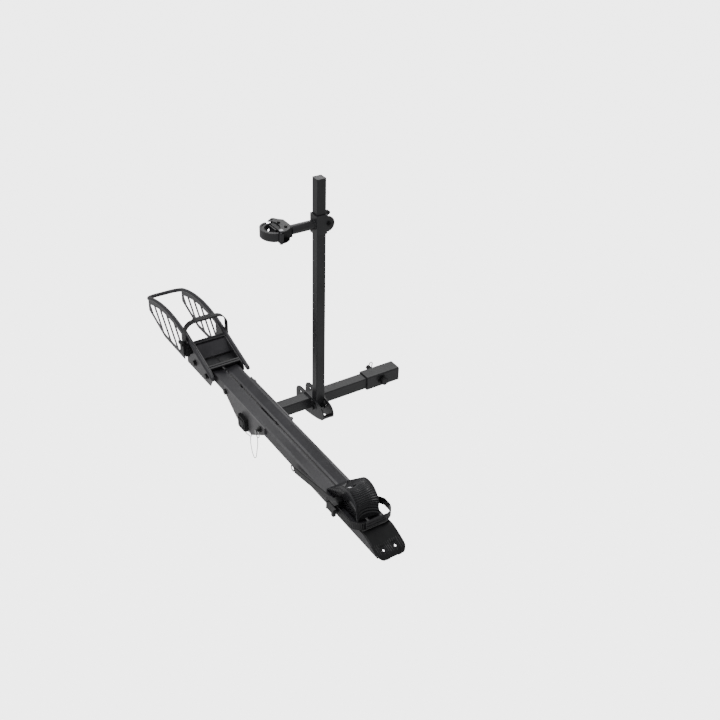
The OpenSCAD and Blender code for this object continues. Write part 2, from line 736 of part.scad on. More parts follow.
// Housing of the front ratchet, with ears for the lever's pin.
module front_ratchet_body() color([0.08, 0.08, 0.08]) {
    y = ty - side_y;
    pin = [front_pin_y, front_pin_z];
    difference() {
        union() {
            translate([strap_x - 15, y - 13, 60]) cube([30, 12.9, 25]);
            translate([strap_x - 17, ty - strap_half - 8, 56]) cube([34, 15, 42]);
            for (x = [-17, 14.5]) translate([strap_x + x, pin[0] - 3, 60]) cube([2.5, 7, 10]);
        }
        rod_x(strap_x - 20, strap_x + 20, pin[0], pin[1], 1.66);
    }
}

module front_ratchet_lever() color([0.15, 0.15, 0.15]) {
    translate([strap_x - 14, front_pin_y - 3.1, front_pin_z - 2]) cube([28, 4.6, 44]);
    translate([strap_x - 14, front_pin_y - 8.1, front_pin_z + 32]) cube([28, 6, 10]);
    rod_x(strap_x - 16.8, strap_x + 16.8, front_pin_y, front_pin_z, 1.6);
}

module front_strap_anchor() color([0.12, 0.12, 0.12]) {
    y = ty + side_y;
    translate([strap_x - 12, y + 0.1, 52]) cube([24, strap_half - side_y - 1.9, 20]);
    translate([strap_x - 13, ty + strap_half - 1.8, 50]) cube([26, 5.6, 25.4]);
}

// ---- Rear wheel holder ----

// Side outline of the chock: a straight toe slope, a round top and a steep heel.
module chock_outline() {
    base = tray_top + 0.3;
    top = [chock_cx, chock_cz];
    polygon(concat([[chock_x1, base], [chock_x0 - 8, base], [chock_x0 - 8, base + 3]],
        arc(top, chock_r, 130, -8, 18), [[chock_x1, base + 6]]));
}

// Hollow across the top that the tyre beds into: straight up the toe, then round the top.
module tyre_scoop() {
    deep = 16;
    hollow = 47;
    reach = chock_r + hollow - deep;
    translate([chock_cx, ty, chock_cz]) {
        rotate([90, 30, 0]) rotate_extrude(angle = 160) translate([reach, 0])
            circle(hollow, $fn = 48);
        rotate([0, -40, 0]) translate([-200, 0, reach]) rotate([0, 90, 0])
            cylinder(h = 200, r = hollow, $fn = 48);
    }
}

// Chock with a scooped top, open underneath round its bolt.
module rear_chock() color([0.22, 0.22, 0.23]) {
    base = tray_top + 0.3;
    difference() {
        plate_y(ty - chock_half, ty + chock_half) chock_outline();
        tyre_scoop();
        translate([chock_bolt_x, ty, base + 32]) cylinder(h = 90, r = 15);
        translate([chock_bolt_x, ty, base - 1]) cylinder(h = 60, r = 4.2);
    }
}

// Bolt and plate that grip the tray's slot.
module rear_chock_bolt() color([0.75, 0.75, 0.77]) {
    translate([chock_bolt_x, ty, flat_z - lip_depth - 8]) cylinder(h = 55, r = 2.9);
    translate([chock_bolt_x, ty, tray_top + 32.4]) cylinder(h = 5, r = 7, $fn = 6);
    translate([chock_bolt_x - 15, ty - 13, flat_z - lip_depth - 4]) cube([30, 26, 3.7]);
}

module rear_strap() color([0.1, 0.1, 0.1]) {
    c = loop_half - strap_bend;
    corner_x = loop_x - strap_bend;
    path = concat([[560.5, -loop_half], [600, -loop_half]],
        arc([corner_x, -c], strap_bend, 270, 360, 8), arc([corner_x, c], strap_bend, 0, 90, 8),
        [[606, loop_half], [592, loop_half - 3], [580, loop_half - 9], [570, 44]]);
    sweep([for (p = path) [p[0], ty + p[1], loop_z]], flat_section(strap_t, strap_w), [0, 0, 1]);
    // Free end of the strap along the tray, with a finger hole.
    plate_y(ty - loop_half + 6, ty - loop_half + 9) difference() {
        polygon([[519.5, 60], [480, 53], [420, 42], [316, 24], [302, 24], [297, 30], [298, 40],
            [306, 46], [420, 65], [480, 76], [519.5, 82]]);
        translate([308, 33]) circle(4.5);
        translate([318, 35]) circle(4.5);
        translate([308, 28.5]) square([10, 10]);
    }
}

module rear_strap_pad() color([0.25, 0.25, 0.26]) {
    half = loop_half - strap_bend + 4;
    translate([loop_x + strap_t / 2 + 0.1, ty - half, loop_z - 11]) cube([4.5, 2 * half, 27]);
}

// Housing of the rear ratchet, its foot on the chock, and the strap's far anchor.
module rear_ratchet_body() color([0.08, 0.08, 0.08]) difference() {
    union() {
        translate([520, ty - loop_half - 7, loop_z - 13]) cube([40, 14, 28]);
        for (z = [-13, 13.4]) translate([526, rear_pin_y - 3, loop_z + z]) cube([7, 7, 1.6]);
        translate([528, ty - loop_half + 7, loop_z - 11])
            cube([22, loop_half - 7 - chock_half - 0.1, 22]);
        translate([550, ty + chock_half + 0.1, loop_z - 10]) cube([17, 15, 20]);
    }
    translate([rear_pin_x, rear_pin_y, loop_z - 20]) cylinder(h = 40, r = 1.66);
}

module rear_ratchet_lever() color([0.15, 0.15, 0.15]) {
    translate([rear_pin_x - 1.6, rear_pin_y - 3, loop_z - 11]) cube([44, 4.6, 24]);
    translate([rear_pin_x + 32.4, rear_pin_y - 8, loop_z - 11]) cube([10, 6, 24]);
    translate([rear_pin_x, rear_pin_y, loop_z - 12.8]) cylinder(h = 27.6, r = 1.6);
}

hitch_tube();
receiver_sleeve();
tube_end_plug();
saddle_plate_near();
saddle_plate_far();
tray_rest_pad();
mast_bracket();
mast_pivot_bolt();
tray_pivot_bolt();
tether_clip();
lock_pin_tether();
hitch_bolt();
hitch_bolt_washers();
hitch_r_clip();
tray_lock_pin();
lock_pin_ring();
mast_tube();
mast_cap();
mast_lock_bolt();
collar_bracket();
collar_liners();
arm_tube();
collar_clamp_bolt();
collar_stop_bolt();
collar_lever();
head_top_plate();
head_bottom_plate();
head_block();
head_bolts();
jaw_hinge_pin();
fixed_jaw_pad();
jaw_band();
jaw_pad();
jaw_release_lever();
tray_rail_near();
tray_rail_far();
tray_spacers();
tray_end_cap();
end_cap_screws();
hoop_rod();
hoop_cross_bars();
cradle_ramp();
cradle_floor();
holder_side_near();
holder_side_far();
guard_near();
guard_far();
holder_blocks();
holder_bolts();
front_strap();
front_strap_pad();
front_ratchet_body();
front_strap_anchor();
front_ratchet_lever();
rear_chock();
rear_chock_bolt();
rear_strap();
rear_strap_pad();
rear_ratchet_body();
rear_ratchet_lever();
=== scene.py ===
"""Studio picture of a hitch mounted bike rack, in the same frame as its CAD model, in metres."""

import bmesh
import bpy
import numpy as np
from mathutils import Matrix, Vector


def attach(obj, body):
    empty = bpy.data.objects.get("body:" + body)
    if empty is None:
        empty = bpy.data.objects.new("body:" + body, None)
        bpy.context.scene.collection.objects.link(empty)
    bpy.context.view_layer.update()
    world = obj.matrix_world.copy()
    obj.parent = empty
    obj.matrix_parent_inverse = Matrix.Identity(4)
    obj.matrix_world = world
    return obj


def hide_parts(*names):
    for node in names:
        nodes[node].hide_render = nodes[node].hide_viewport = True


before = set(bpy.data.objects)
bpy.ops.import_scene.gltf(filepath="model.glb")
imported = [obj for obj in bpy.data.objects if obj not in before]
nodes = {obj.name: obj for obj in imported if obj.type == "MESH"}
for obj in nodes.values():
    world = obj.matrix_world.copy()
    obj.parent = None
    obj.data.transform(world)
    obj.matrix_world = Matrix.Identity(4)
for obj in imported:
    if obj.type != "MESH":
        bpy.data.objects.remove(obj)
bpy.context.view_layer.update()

# ---- Camera ----
# It looks down at the rack from beyond the rear wheel's end, on the side away from the vehicle.
azimuth, elevation, roll = np.radians([55.87, 32.98, 1.85])
forward = np.array([-np.sin(azimuth) * np.cos(elevation), np.cos(azimuth) * np.cos(elevation),
                    -np.sin(elevation)])
level = np.array([np.cos(azimuth), np.sin(azimuth), 0.0])
upward = np.cross(level, forward)
right = level * np.cos(roll) + upward * np.sin(roll)
up = upward * np.cos(roll) - level * np.sin(roll)
camera = bpy.data.objects.new("camera", bpy.data.cameras.new("camera"))
camera.matrix_world = Matrix.Translation((2.21853, -1.57920, 1.82758)) @ Matrix(
    [[right[i], up[i], -forward[i]] for i in range(3)]).to_4x4()
camera.data.lens = 48.654
camera.data.sensor_width = 36.0
camera.data.clip_end = 60.0
bpy.context.scene.collection.objects.link(camera)
bpy.context.scene.camera = camera


# ---- Surfaces ----
# Every new piece is a grid of points, rows by columns, closed round its columns if it is a tube.
def surface(name, grid, round_columns=True, capped=True, through=None):
    """Mesh of P(row, column) with quads between neighbours, and a cap over each open end.
    Where through(row, column) holds on the first half of a round section, the quads there and
    on the other half are left out, and the edge between them is walled."""
    rows, columns = grid.shape[:2]
    index = np.arange(rows * columns).reshape(rows, columns)
    ahead = np.roll(index, -1, axis=1) if round_columns else index[:, 1:]
    here = index if round_columns else index[:, :-1]
    quads = np.stack([here[:-1], ahead[:-1], ahead[1:], here[1:]], axis=-1)
    if through is None:
        faces = quads.reshape(-1, 4).tolist()
    else:
        over, under = index[:, :columns // 2], index[:, columns // 2:][:, ::-1]
        gone = np.pad(through[:-1, :-1] & through[1:, 1:], 1)
        keep = np.ones(quads.shape[:2], bool)
        keep[:, :columns // 2 - 1] = ~gone[1:-1, 1:-1]
        keep[:, columns // 2:-1] = ~gone[1:-1, 1:-1][:, ::-1]
        i, j = np.nonzero(gone[1:, 1:-1] != gone[:-1, 1:-1])
        walls = [np.stack([over[i, j], over[i, j + 1], under[i, j + 1], under[i, j]], axis=1)]
        i, j = np.nonzero(gone[1:-1, 1:] != gone[1:-1, :-1])
        walls += [np.stack([over[i, j], over[i + 1, j], under[i + 1, j], under[i, j]], axis=1)]
        faces = np.vstack([quads[keep]] + walls).tolist()
    if capped and round_columns:
        faces += [index[0, ::-1].tolist(), index[-1].tolist()]
    mesh = bpy.data.meshes.new(name)
    mesh.from_pydata(grid.reshape(-1, 3).tolist(), [], faces)
    mesh.validate()
    build = bmesh.new()
    build.from_mesh(mesh)
    bmesh.ops.recalc_face_normals(build, faces=build.faces)
    build.to_mesh(mesh)
    build.free()
    mesh.polygons.foreach_set("use_smooth", [True] * len(mesh.polygons))
    piece = bpy.data.objects.new(name, mesh)
    bpy.context.scene.collection.objects.link(piece)
    return piece


def tube(path, section, up_hint):
    """Grid P(i, k) = path_i + a_k S_i + b_k U_i, with S across the path's tangent and the hint."""
    tangent = np.gradient(path, axis=0)
    tangent /= np.linalg.norm(tangent, axis=1)[:, None]
    side = np.cross(tangent, up_hint)
    side /= np.linalg.norm(side, axis=1)[:, None]
    lift = np.cross(side, tangent)
    return (path[:, None] + section[..., 0, None] * side[:, None]
            + section[..., 1, None] * lift[:, None])


def smooth_path(points, count):
    """Points spaced evenly along a Catmull-Rom curve through the given ones."""
    p = np.vstack([2 * points[0] - points[1], points, 2 * points[-1] - points[-2]])
    t = np.linspace(0, 1, 24, endpoint=False)[:, None]
    spans = [0.5 * (2 * p[i] + (p[i + 1] - p[i - 1]) * t
                    + (2 * p[i - 1] - 5 * p[i] + 4 * p[i + 1] - p[i + 2]) * t ** 2
                    + (3 * p[i] - p[i - 1] - 3 * p[i + 1] + p[i + 2]) * t ** 3)
             for i in range(1, len(p) - 2)]
    line = np.vstack(spans + [points[-1:]])
    run = np.concatenate([[0], np.cumsum(np.linalg.norm(np.diff(line, axis=0), axis=1))])
    at = np.linspace(0, run[-1], count)
    return np.stack([np.interp(at, run, line[:, k]) for k in range(3)], axis=1)


def circle(radius, sides):
    """Round section, radius (cos a, sin a)."""
    a = np.linspace(0, 2 * np.pi, sides, endpoint=False)
    return radius * np.stack([np.cos(a), np.sin(a)], axis=1)


# ---- Tether ----
# A clear plastic-coated cord hangs in a loop from the wire eye to the lock pin's ring.
tether_line = np.array([
    [43, -506, -30], [42, -506, -40], [42, -506, -50], [43, -506, -60], [46, -506, -70],
    [49, -506, -80], [53, -506, -88], [58, -506, -94], [64, -506, -97], [70, -506, -94],
    [75, -506, -88], [78, -506, -80], [81, -506, -68], [84, -506, -54], [87, -506, -41],
    [91, -507, -28], [95.5, -509, -15], [100, -511, -3], [103.6, -513, 9.8]]) / 1000
tether_path = smooth_path(tether_line, 90)
tether = surface("tether", tube(tether_path, circle(0.0012, 16), np.array([0, 1.0, 0])))
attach(tether, "beam")
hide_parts("lock_pin_tether")


# ---- Shaders ----
# Materials are built from sockets that add, subtract and multiply like numbers.
class Flow:
    """A shader socket with arithmetic, where each operator adds one Math node."""

    def __init__(self, tree, socket=None):
        self.tree, self.socket = tree, socket

    def node(self, kind, inputs=None, settings=None, output=0):
        made = self.tree.nodes.new(kind)
        for key, value in (settings or {}).items():
            setattr(made, key, value)
        for key, value in (inputs or {}).items():
            if isinstance(value, Flow):
                self.tree.links.new(value.socket, made.inputs[key])
            else:
                made.inputs[key].default_value = value
        return Flow(self.tree, made.outputs[output])

    def math(self, operation, *values):
        return self.node("ShaderNodeMath", dict(enumerate(values)), {"operation": operation})

    def __add__(self, other):
        return self.math("ADD", self, other)

    def __sub__(self, other):
        return self.math("SUBTRACT", self, other)

    def __mul__(self, other):
        return self.math("MULTIPLY", self, other)

    def ramp(self, low, high, to_low=0.0, to_high=1.0):
        return self.node("ShaderNodeMapRange", {"Value": self, "From Min": low, "From Max": high,
                                                "To Min": to_low, "To Max": to_high})


def material(name, make, **constants):
    """New material whose Principled sockets come from make(flow, place)."""
    made = bpy.data.materials.new(name)
    made.use_nodes = True
    tree = made.node_tree
    shader = tree.nodes["Principled BSDF"]
    flow = Flow(tree)
    place = flow.node("ShaderNodeTexCoord", output="Object")
    for key, value in constants.items():
        shader.inputs[key.replace("_", " ")].default_value = value
    for key, value in make(flow, place).items():
        tree.links.new(value.socket, shader.inputs[key])
    return made


def noise(flow, place, scale, detail=4.0, stretch=(1, 1, 1), rough=0.55):
    """Fractal noise with its grain stretched along the row's axes."""
    at = flow.node("ShaderNodeMapping", {"Vector": place, "Scale": stretch})
    return flow.node("ShaderNodeTexNoise", {"Vector": at, "Scale": scale, "Detail": detail,
                                            "Roughness": rough})


def mix(flow, factor, first, second):
    """Colour between two others."""
    colours = {"Factor": factor}
    for key, value in (("A", first), ("B", second)):
        colours[key] = value if isinstance(value, Flow) else (*value, 1.0)
    made = flow.tree.nodes.new("ShaderNodeMix")
    made.data_type = "RGBA"
    sockets = {"Factor": made.inputs[0], "A": made.inputs[6], "B": made.inputs[7]}
    for key, value in colours.items():
        if isinstance(value, Flow):
            flow.tree.links.new(value.socket, sockets[key])
        else:
            sockets[key].default_value = value
    return Flow(flow.tree, made.outputs[2])


def grained(flow, height, distance, strength=1.0):
    """Normal of a bumpy surface, from its height."""
    return flow.node("ShaderNodeBump", {"Height": height, "Distance": distance,
                                        "Strength": strength})


def powder_coat(name, colour, rough=0.42, worn=0.5):
    """Satin powder coat: orange peel, faint mottling, dust, and pale scuffs along the piece."""
    dark, light = np.array(colour) * 0.8, np.minimum(np.array(colour) * 1.25 + 0.002, 1)

    def make(flow, place):
        peel = noise(flow, place, 620.0, 3.0)
        fine = noise(flow, place, 2600.0, 2.0)
        mottle = noise(flow, place, 14.0, 6.0)
        dust = noise(flow, place, 60.0, 8.0, rough=0.7).ramp(0.52, 0.78)
        scratch = noise(flow, place, 90.0, 10.0, (0.25, 0.25, 3.0), 0.75).ramp(0.66, 0.76)
        patch = noise(flow, place, 9.0, 3.0).ramp(0.5, 0.7)
        scuff = scratch * patch * worn
        base = mix(flow, mottle.ramp(0.3, 0.7), tuple(dark), tuple(light))
        base = mix(flow, dust * 0.05, base, (0.30, 0.29, 0.28))
        base = mix(flow, scuff, base, (0.2, 0.2, 0.21))
        return {"Base Color": base,
                "Roughness": peel * 0.08 + dust * 0.2 + mottle * 0.12 + (rough - 0.1),
                "Normal": grained(flow, peel * 0.7 + fine * 0.3, 0.0002, 0.12)}
    return material(name, make, IOR=1.5, Metallic=0.0)


def plated(name, colour, rough=0.28, stretch=(1, 1, 1)):
    """Zinc plating or bare steel: bright, finely drawn, with a dull bloom in places."""
    def make(flow, place):
        drawn = noise(flow, place, 420.0, 4.0, stretch)
        bloom = noise(flow, place, 55.0, 6.0).ramp(0.42, 0.7)
        grime = noise(flow, place, 170.0, 8.0, rough=0.7).ramp(0.58, 0.72)
        base = mix(flow, bloom * 0.5, colour, tuple(0.6 * np.array(colour)))
        base = mix(flow, grime * 0.5, base, (0.09, 0.08, 0.07))
        return {"Base Color": base,
                "Roughness": bloom * 0.22 + drawn * 0.12 + grime * 0.25 + (rough - 0.1),
                "Normal": grained(flow, drawn, 0.0002, 0.3)}
    return material(name, make, Metallic=1.0)


def moulded(name, colour, rough=0.5, grain=0.3):
    """Moulded plastic: a spark-eroded grain, flow marks, and rubbed shiny patches."""
    light = np.minimum(np.array(colour) * 1.7 + 0.004, 1)

    def make(flow, place):
        spark = flow.node("ShaderNodeTexVoronoi", {"Vector": place, "Scale": 1500.0},
                          {"feature": "SMOOTH_F1"})
        flowing = noise(flow, place, 22.0, 5.0, (1, 1, 0.4))
        rubbed = noise(flow, place, 75.0, 7.0, rough=0.65).ramp(0.5, 0.72)
        base = mix(flow, flowing.ramp(0.35, 0.7) * 0.35, colour, tuple(light))
        base = mix(flow, rubbed * 0.04, base, (0.2, 0.2, 0.2))
        return {"Base Color": base,
                "Roughness": flowing * 0.15 + (rough - 0.08) - rubbed * 0.12,
                "Normal": grained(flow, spark, 0.00015, grain)}
    return material(name, make, IOR=1.49, Specular_IOR_Level=0.4)


def rubbery(name, colour, rough=0.8):
    """Matte rubber: a chalky bloom over a fine pebbled skin."""
    def make(flow, place):
        pebble = noise(flow, place, 1300.0, 3.0)
        bloom = noise(flow, place, 34.0, 8.0, rough=0.7).ramp(0.42, 0.78)
        base = mix(flow, bloom * 0.2, colour, (0.06, 0.06, 0.06))
        return {"Base Color": base, "Roughness": bloom * 0.12 + (rough - 0.04),
                "Normal": grained(flow, pebble, 0.0002, 0.25)}
    return material(name, make, IOR=1.5)


charcoal = powder_coat("charcoal_coat", (0.021, 0.021, 0.0235), 0.36, 0.25)
mast_coat = powder_coat("mast_coat", (0.016, 0.016, 0.018), 0.32, 0.2)
grey_coat = powder_coat("grey_coat", (0.034, 0.033, 0.038), 0.34, 0.25)
plate_coat = powder_coat("plate_coat", (0.115, 0.113, 0.118), 0.42, 0.3)
black_oxide = powder_coat("black_oxide", (0.006, 0.006, 0.007), 0.34, 0.5)
zinc = plated("zinc", (0.62, 0.62, 0.64), 0.3)
bright = plated("bright_wire", (0.8, 0.8, 0.8), 0.2)
black_plastic = moulded("black_plastic", (0.006, 0.006, 0.007), 0.42, 0.15)
grey_plastic = moulded("grey_plastic", (0.03, 0.03, 0.033), 0.3, 0.08)
rubber = rubbery("black_rubber", (0.02, 0.02, 0.022), 0.34)
strap_plastic = moulded("strap_plastic", (0.010, 0.010, 0.011), 0.36, 0.15)
clear = material(
    "clear_tether",
    lambda flow, place: {
        "Base Color": mix(flow, noise(flow, place, 300.0), (0.93, 0.94, 0.94), (0.75, 0.77, 0.77)),
        "Roughness": noise(flow, place, 500.0) * 0.25 + 0.06,
        "Normal": grained(flow, noise(flow, place, 900.0), 0.0002, 0.3)},
    IOR=1.46, Transmission_Weight=0.75)
tether.data.materials.append(clear)

# ---- CAD nodes ----
# Each keeps its CAD shape and gets its own finish, with its hard edges broken.
finishes = [
    (charcoal, 0.0008, "hitch_tube receiver_sleeve mast_bracket collar_bracket arm_tube "
     "hoop_cross_bars cradle_floor holder_side_far jaw_band"),
    (mast_coat, 0.0008, "mast_tube mast_cap head_top_plate"),
    (grey_coat, 0.0006, "tray_rail_near tray_rail_far guard_near guard_far cradle_ramp"),
    (plate_coat, 0.0006, "saddle_plate_near saddle_plate_far holder_side_near"),
    (black_oxide, 0.0005, "tray_pivot_bolt hitch_bolt holder_bolts end_cap_screws "
     "head_bottom_plate tray_spacers hoop_rod mast_pivot_bolt hitch_bolt_washers "
     "mast_lock_bolt collar_clamp_bolt collar_stop_bolt tray_lock_pin head_bolts"),
    (zinc, 0.0005, "jaw_hinge_pin rear_chock_bolt"),
    (bright, 0.0, "tether_clip hitch_r_clip lock_pin_ring"),
    (black_plastic, 0.0012, "tube_end_plug collar_liners collar_lever head_block "
     "jaw_release_lever tray_end_cap holder_blocks front_ratchet_body front_strap_anchor "
     "front_ratchet_lever rear_ratchet_body rear_ratchet_lever"),
    (grey_plastic, 0.001, "rear_chock"),
    (rubber, 0.001, "tray_rest_pad fixed_jaw_pad jaw_pad front_strap_pad rear_strap_pad"),
    (strap_plastic, 0.0, "front_strap rear_strap"),
]
for finish, edge, names in finishes:
    for name in names.split():
        node = nodes[name]
        node.data.materials.clear()
        node.data.materials.append(finish)
        if edge:
            broken = node.modifiers.new("broken_edges", "BEVEL")
            broken.width = edge
            broken.segments = 2
            broken.limit_method = "ANGLE"
            broken.angle_limit = np.radians(38)
            broken.use_clamp_overlap = True
            broken.harden_normals = False

# ---- Front hoop ----
# One round rod: two straight rails that arch over the guards and join round the front, its ends
# narrowed a little and capped flat.
def rail_height(x):
    """Straight slope behind the bend, then an arc z = c + sqrt(r^2 - (x - a)^2) ahead of it."""
    slope = np.radians(18.3)
    arch_x, arch_z = -375 - 480 * np.sin(slope), 113 - 480 * np.cos(slope)
    return np.where(x > -375, 113 - (x + 375) * np.tan(slope),
                    arch_z + np.sqrt(480 ** 2 - (np.minimum(x, -375) - arch_x) ** 2))


reach = np.linspace(-190, -694, 90)
turn = np.radians(np.linspace(270, 180, 22))[1:]
half_x = np.concatenate([reach, -694 + 45 * np.cos(turn)])
half_y = np.concatenate([np.full(90, -64.0), -19 + 45 * np.sin(turn)])
hoop_x = np.concatenate([half_x, half_x[::-1]])
hoop_y = np.concatenate([half_y, -half_y[::-1]]) - 452
hoop_path = np.stack([hoop_x, hoop_y, rail_height(hoop_x)], axis=1) / 1000
ends = np.minimum(np.arange(len(hoop_path)), np.arange(len(hoop_path))[::-1])
hoop_section = circle(0.007, 40)[None] * np.where(ends == 0, 0.8, 1.0)[:, None, None]
hoop = surface("hoop", tube(hoop_path, hoop_section, np.array([0, 0, 1.0])))
hoop.data.materials.append(grey_coat)
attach(hoop, "tray")
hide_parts("hoop_rod")


# ---- Straps ----
# Ratchet straps: a flat band with raised edges and a ladder of teeth on its outer face.
def strap(name, path, hint, body, outer=-1.0, plain=0.0, wide=25.0):
    """Band along a path. Its outer face stands out where the tooth wave or the edge says so."""
    run = np.concatenate([[0], np.cumsum(np.linalg.norm(np.diff(path, axis=0), axis=1))])
    b = np.concatenate([np.linspace(-1, 1, 22), np.linspace(1, -1, 22)]) * wide / 2000
    face = np.concatenate([np.ones(22), np.zeros(22)])
    tooth = 0.5 + 0.5 * np.tanh(5 * np.sin(2 * np.pi * run / 0.0058))
    tooth = np.where(run > run[-1] - plain, 0.0, tooth)
    edge = 1 / (1 + np.exp(-(np.abs(b) * 1000 - wide * 0.37) * 3.0))
    rise = np.maximum(tooth[:, None], edge[None])
    thick = np.where(face > 0, 0.0008 + 0.0007 * rise, -0.0012)
    rounding = np.sqrt(np.clip(1 - (np.abs(b) / (wide / 2000)) ** 14, 0.05, 1))
    section = np.stack([outer * thick * rounding, np.broadcast_to(b, thick.shape)], axis=-1)
    piece = surface(name, tube(path, section, hint))
    piece.data.materials.append(strap_plastic)
    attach(piece, body)
    return piece


quarter = np.radians(np.linspace(0, 90, 30))
front_y = np.concatenate([np.full(60, -528.0), -493 - 35 * np.cos(quarter),
                          np.linspace(-493, -411, 110)[1:-1], -411 + 35 * np.sin(quarter),
                          np.full(90, -376.0)])
front_z = np.concatenate([np.linspace(98.8, 136.5, 60), 137 + 35 * np.sin(quarter),
                          np.full(108, 172.0), 137 + 35 * np.cos(quarter),
                          np.linspace(136.5, 75.8, 90)])
front_path = np.stack([np.full(len(front_y), -370.0), front_y, front_z], axis=1) / 1000
front_band = strap("front_band", front_path, np.array([1.0, 0, 0]), "tray")
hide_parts("front_strap")

corner_in = np.radians(np.linspace(-90, 0, 40))
rear_x = np.concatenate([np.linspace(560.8, 619.5, 80), 620 + 35 * np.cos(corner_in),
                         620 + 35 * np.cos(corner_in[::-1]), np.linspace(619, 606, 20),
                         [598, 590, 582, 575, 570.5]])
rear_y = np.concatenate([np.full(80, -64.0), -29 + 35 * np.sin(corner_in),
                         29 - 35 * np.sin(corner_in[::-1]), np.full(20, 64.0),
                         [62.6, 59.6, 54.6, 49.4, 44.1]]) - 452
rear_coarse = np.stack([rear_x, rear_y, np.full(len(rear_x), 70.0)], axis=1) / 1000
rear_path = smooth_path(rear_coarse[np.r_[0:len(rear_coarse):4, len(rear_coarse) - 1]], 420)
rear_band = strap("rear_band", rear_path, np.array([0, 0, 1.0]), "chock_set", outer=1.0)
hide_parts("rear_strap")
tail_line = np.array([[519.2, -508.5, 71.0], [490, -508.5, 66.0], [440, -508.5, 56.5],
                      [390, -508.5, 47.0], [350, -508.5, 40.0], [322, -508.5, 35.5]]) / 1000
strap("rear_tail", smooth_path(tail_line, 260), np.array([0, 0, 1.0]), "chock_set",
      outer=1.0, plain=0.012, wide=21.0)
loop_angle = np.linspace(0, 2 * np.pi, 65)[:-1]
loop_angle = np.append(loop_angle, loop_angle[0] + 2 * np.pi - 1e-4)
loop_path = np.stack([0.3115 + 0.0083 * np.cos(loop_angle), np.full(65, -0.5085),
                      0.0345 + 0.0083 * np.sin(loop_angle)], axis=1)
loop_section = circle(1.0, 20) * np.array([0.0026, 0.0014])
pull_loop = surface("rear_pull_loop", tube(loop_path, loop_section, np.array([0, 1.0, 0])))
pull_loop.data.materials.append(strap_plastic)
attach(pull_loop, "chock_set")


# ---- Strap pads ----
# Rubber sleeves over the straps where they bear on the tyre, with lengthwise ridges.
def ridged_pad(name, path, hint, height, wide, body, node):
    """Rounded bar along a path: r(b) = thickness less a groove wave across its outer face."""
    b = np.concatenate([np.linspace(-1, 1, 60), np.linspace(1, -1, 16)])
    outer = np.concatenate([np.ones(60), np.zeros(16)])
    groove = 0.5 - 0.5 * np.cos(3 * 2 * np.pi * (b + 1) / 2)
    crown = np.clip(1 - np.abs(b) ** 8, 0.02, 1) ** 0.5
    thick = np.where(outer > 0, height * (0.62 + 0.38 * groove) * crown, 0.0)
    count = len(path)
    along = np.linspace(-1, 1, count)
    taper = np.clip(1 - np.abs(along) ** 16, 0.04, 1) ** 0.5
    section = np.stack([thick[None] * taper[:, None],
                        (b * wide / 2)[None] * (0.93 + 0.07 * taper[:, None])], axis=-1)
    pad = surface(name, tube(path, section, hint))
    pad.data.materials.append(rubber)
    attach(pad, body)
    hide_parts(node)
    return pad


over = np.linspace(-411, -493, 80)
ridged_pad("front_pad", np.stack([np.full(80, -370.0), over, np.full(80, 173.7)], axis=1) / 1000,
           np.array([1.0, 0, 0]), 0.005, 0.030, "tray", "front_strap_pad")
across = np.linspace(-485, -419, 80)
ridged_pad("rear_pad", np.stack([np.full(80, 656.7), across, np.full(80, 72.5)], axis=1) / 1000,
           np.array([0, 0, 1.0]), 0.0044, 0.027, "chock_set", "rear_strap_pad")

# ---- Rear chock ----
# A moulded wedge with a hollow along its top that the tyre beds into, grooved like a tread, and a
# well for its bolt.
tray_y, chock_half, chock_base = -452, 36.3, 53.4
crown_x, crown_z, crown_r = 567, 84, 50
toe_run = 98
tyre_r, tyre_sunk = 47, 16
rib_pitch, rib_depth = 8.6, 2.2
up_toe = np.linspace(-toe_run, 0, 150)[:, None]
crown = np.radians(np.linspace(130, -8, 150))[1:, None]
foot = np.linspace(0, 1, 24)[1:, None]
edge_x = np.vstack([535 + up_toe * 0.752, crown_x + crown_r * np.cos(crown), 616.5 + 6.5 * foot])
edge_z = np.vstack([122.3 + up_toe * 0.659, crown_z + crown_r * np.sin(crown), 77 - 20 * foot])
lean_x = np.vstack([-0.643 + 0 * up_toe, np.cos(crown), 0.99 + 0 * foot])
lean_z = np.vstack([0.766 + 0 * up_toe, np.sin(crown), -0.14 + 0 * foot])
run = np.concatenate([[0], np.cumsum(np.hypot(np.diff(edge_x[:, 0]), np.diff(edge_z[:, 0])))])
run = run[:, None]
v = np.linspace(-1, 1, 130)[None]
rim = np.minimum(tyre_r - np.sqrt(tyre_r ** 2 - (chock_half * v) ** 2), tyre_sunk)
edge_round = 2.2 * np.clip((np.abs(v) - 0.95) / 0.05, 0, 1) ** 2
groove = 0.5 + 0.5 * np.tanh(3 * np.sin(2 * np.pi * run / rib_pitch))
tread = np.clip((0.97 - np.abs(v)) * 30, 0, 1) * np.clip((run - 14) / 10, 0, 1)
inward = tyre_sunk - rim + edge_round + rib_depth * groove * tread
chock_x = edge_x - lean_x * inward
chock_z = np.maximum(edge_z - lean_z * inward, chock_base + 0.8)
chock_y = tray_y + chock_half * v + 0 * chock_x
bolt_x, well_r, well_floor = 527, 16.5, 85.6
well = np.hypot(chock_x - bolt_x, chock_y - tray_y) / well_r
sink = np.clip((1.05 - well) / 0.12, 0, 1) * (run < toe_run + 7)
sink = sink * sink * (3 - 2 * sink)
chock_z = chock_z * (1 - sink) + np.minimum(chock_z, well_floor) * sink
below = np.linspace(1, -1, 24)[1:-1][None]
chock_grid = np.stack([
    np.hstack([chock_x, np.clip(edge_x, 461.5, 612) + 0 * below]),
    np.hstack([chock_y, tray_y + chock_half * below + 0 * edge_x]),
    np.hstack([chock_z, chock_base + 0 * (edge_x + below)])], axis=-1)
chock = surface("chock", chock_grid / 1000)
chock.data.materials.append(grey_plastic)
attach(chock, "chock_set")
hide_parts("rear_chock")

